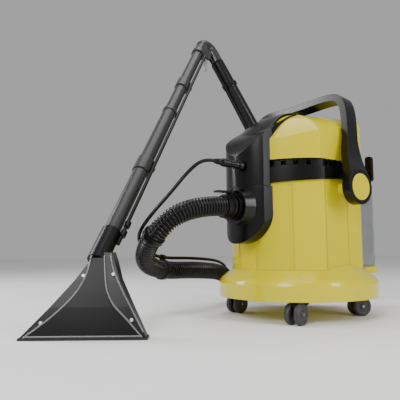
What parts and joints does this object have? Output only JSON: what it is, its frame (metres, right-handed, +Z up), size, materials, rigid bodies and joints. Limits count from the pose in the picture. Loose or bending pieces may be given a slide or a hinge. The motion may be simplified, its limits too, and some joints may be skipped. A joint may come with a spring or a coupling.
{
  "type": "carpet cleaner machine",
  "caption": "Wheeled yellow and black tub carpet cleaner with bail handle, rear clean-water tank, long hose, two-piece wand and clear-fronted floor nozzle",
  "frame": {"origin": "centre of the bounding box of the machine and wand, without the hoses, on the floor", "axes": "+Z up; -Y the side where the hose leaves the machine; +X the machine's right side"},
  "size_m": [0.6039, 1.017, 0.8489],
  "materials": {
    "yellow_shell": "glossy moulded lemon yellow ABS",
    "black_plastic": "fine-textured black polypropylene",
    "black_hose": "corrugated black hose",
    "rubber_seal": "black rubber",
    "dark_button": "dark grey buttons",
    "light_lever": "light grey lever",
    "clear_plastic": "translucent plastic",
    "grey_plastic": "grey moulded plastic",
    "foam": "open foam",
    "steel": "plain steel",
    "rotor_alloy": "die-cast alloy",
    "caster_plastic": "black caster fork",
    "wheel_tread": "dark caster wheels"
  },
  "bodies": {
    "machine": {"base_ring": "yellow_shell", "tub": "yellow_shell", "dome_cover": "yellow_shell", "head_base": "black_plastic", "vent_grille": "black_plastic", "upper_front_cover": "black_plastic", "lower_front_cover": "black_plastic", "suction_socket": "black_plastic", "spray_socket": "black_plastic", "cable_hooks": "black_plastic", "cable_gland": "black_plastic", "switch_housing": "black_plastic", "hose_cuff": "black_plastic", "spray_plug": "black_plastic", "hose_clips": "black_plastic", "nozzle_body": "black_plastic", "lower_tube": "black_plastic", "upper_tube": "black_plastic", "spray_pipe": "black_plastic", "grip_shell": "black_plastic", "spray_jet": "black_plastic", "spray_hose": "black_plastic", "suction_hose": "black_hose", "rim_seal": "rubber_seal", "nozzle_lip": "rubber_seal", "nozzle_window": "clear_plastic", "dirty_water_bucket": "grey_plastic", "float_cage": "grey_plastic", "motor_housing": "grey_plastic", "spray_pump": "grey_plastic", "foam_filter": "foam", "handle_pins": "steel", "motor_bearings": "steel", "trigger_pin": "steel", "nozzle_screws": "steel"},
    "bail": {"bail_handle": "black_plastic", "handle_caps": "yellow_shell"},
    "caster_front_right": {"caster_fork_front_right": "caster_plastic"},
    "wheels_front_right": {"caster_wheels_front_right": "wheel_tread", "caster_axle_front_right": "steel"},
    "caster_front_left": {"caster_fork_front_left": "caster_plastic"},
    "wheels_front_left": {"caster_wheels_front_left": "wheel_tread", "caster_axle_front_left": "steel"},
    "caster_back_right": {"caster_fork_back_right": "caster_plastic"},
    "wheels_back_right": {"caster_wheels_back_right": "wheel_tread", "caster_axle_back_right": "steel"},
    "caster_back_left": {"caster_fork_back_left": "caster_plastic"},
    "wheels_back_left": {"caster_wheels_back_left": "wheel_tread", "caster_axle_back_left": "steel"},
    "suction_switch": {"suction_button": "dark_button"},
    "spray_switch": {"spray_button": "dark_button"},
    "trigger_lever": {"trigger": "light_lever"},
    "lower_latch": {"lower_tube_latch": "black_plastic"},
    "upper_latch": {"upper_tube_latch": "black_plastic"},
    "tank": {"clean_water_tank": "clear_plastic"},
    "lid": {"tank_lid": "dark_button"},
    "rotor": {"fan_rotor": "rotor_alloy"},
    "float": {"float_ball": "grey_plastic"},
    "latch": {"hose_latch": "black_plastic"}
  },
  "joints": [
    {"name": "bail_hinge", "type": "hinge", "parent": "machine", "child": "bail", "pos_m": [0.10068, 0.21024, 0.2975], "axis": [1, 0, 0], "range_deg": [0, 60]},
    {"name": "caster_swivel_front_right", "type": "hinge", "parent": "machine", "child": "caster_front_right", "pos_m": [0.21594, 0.09498, 0.06], "axis": [0, 0, 1], "continuous": true},
    {"name": "wheel_roll_front_right", "type": "hinge", "parent": "caster_front_right", "child": "wheels_front_right", "pos_m": [0.22029, 0.07752, 0.023], "axis": [0.9703, 0.2419, 0], "continuous": true},
    {"name": "caster_swivel_front_left", "type": "hinge", "parent": "machine", "child": "caster_front_left", "pos_m": [-0.01458, 0.09498, 0.06], "axis": [0, 0, 1], "continuous": true},
    {"name": "wheel_roll_front_left", "type": "hinge", "parent": "caster_front_left", "child": "wheels_front_left", "pos_m": [-0.01646, 0.11288, 0.023], "axis": [-0.9945, -0.1045, 0], "continuous": true},
    {"name": "caster_swivel_back_right", "type": "hinge", "parent": "machine", "child": "caster_back_right", "pos_m": [0.21594, 0.3255, 0.06], "axis": [0, 0, 1], "continuous": true},
    {"name": "wheel_roll_back_right", "type": "hinge", "parent": "caster_back_right", "child": "wheels_back_right", "pos_m": [0.20978, 0.30858, 0.023], "axis": [0.9397, -0.342, 0], "continuous": true},
    {"name": "caster_swivel_back_left", "type": "hinge", "parent": "machine", "child": "caster_back_left", "pos_m": [-0.01458, 0.3255, 0.06], "axis": [0, 0, 1], "continuous": true},
    {"name": "wheel_roll_back_left", "type": "hinge", "parent": "caster_back_left", "child": "wheels_back_left", "pos_m": [-0.00842, 0.34241, 0.023], "axis": [-0.9397, 0.342, 0], "continuous": true},
    {"name": "suction_switch_press", "type": "slide", "parent": "machine", "child": "suction_switch", "axis": [0, 0, -1], "range_m": [0, 0.0025], "stiffness_N_per_m": 400},
    {"name": "spray_switch_press", "type": "slide", "parent": "machine", "child": "spray_switch", "axis": [0, 0, -1], "range_m": [0, 0.0025], "stiffness_N_per_m": 400},
    {"name": "trigger_hinge", "type": "hinge", "parent": "machine", "child": "trigger_lever", "pos_m": [-0.26165, 0.20522, 0.77825], "axis": [-0.9274, -0.1726, -0.332], "range_deg": [0, 8], "stiffness_Nm_per_rad": 0.8},
    {"name": "lower_tube_latch_hinge", "type": "hinge", "parent": "machine", "child": "lower_latch", "pos_m": [-0.04703, -0.12264, 0.34921], "axis": [-0.9274, -0.1726, -0.332], "range_deg": [-6, 0], "stiffness_Nm_per_rad": 1},
    {"name": "upper_tube_latch_hinge", "type": "hinge", "parent": "machine", "child": "upper_latch", "pos_m": [-0.18436, 0.0826, 0.62609], "axis": [-0.9274, -0.1726, -0.332], "range_deg": [-6, 0], "stiffness_Nm_per_rad": 1},
    {"name": "tank_slide", "type": "slide", "parent": "machine", "child": "tank", "axis": [0, 1, 0], "range_m": [0, 0.12]},
    {"name": "tank_lid_hinge", "type": "hinge", "parent": "tank", "child": "lid", "pos_m": [0.10068, 0.38824, 0.329], "axis": [1, 0, 0], "range_deg": [0, 80]},
    {"name": "fan_spin", "type": "hinge", "parent": "machine", "child": "rotor", "pos_m": [0.10068, 0.21024, 0.39], "axis": [0, 0, 1], "continuous": true},
    {"name": "float_lift", "type": "slide", "parent": "machine", "child": "float", "axis": [0, 0, 1], "range_m": [0, 0.01]},
    {"name": "hose_latch_hinge", "type": "hinge", "parent": "machine", "child": "latch", "pos_m": [0.10468, -0.02776, 0.2909], "axis": [1, 0, 0], "range_deg": [0, 8], "stiffness_Nm_per_rad": 0.8}
  ]
}
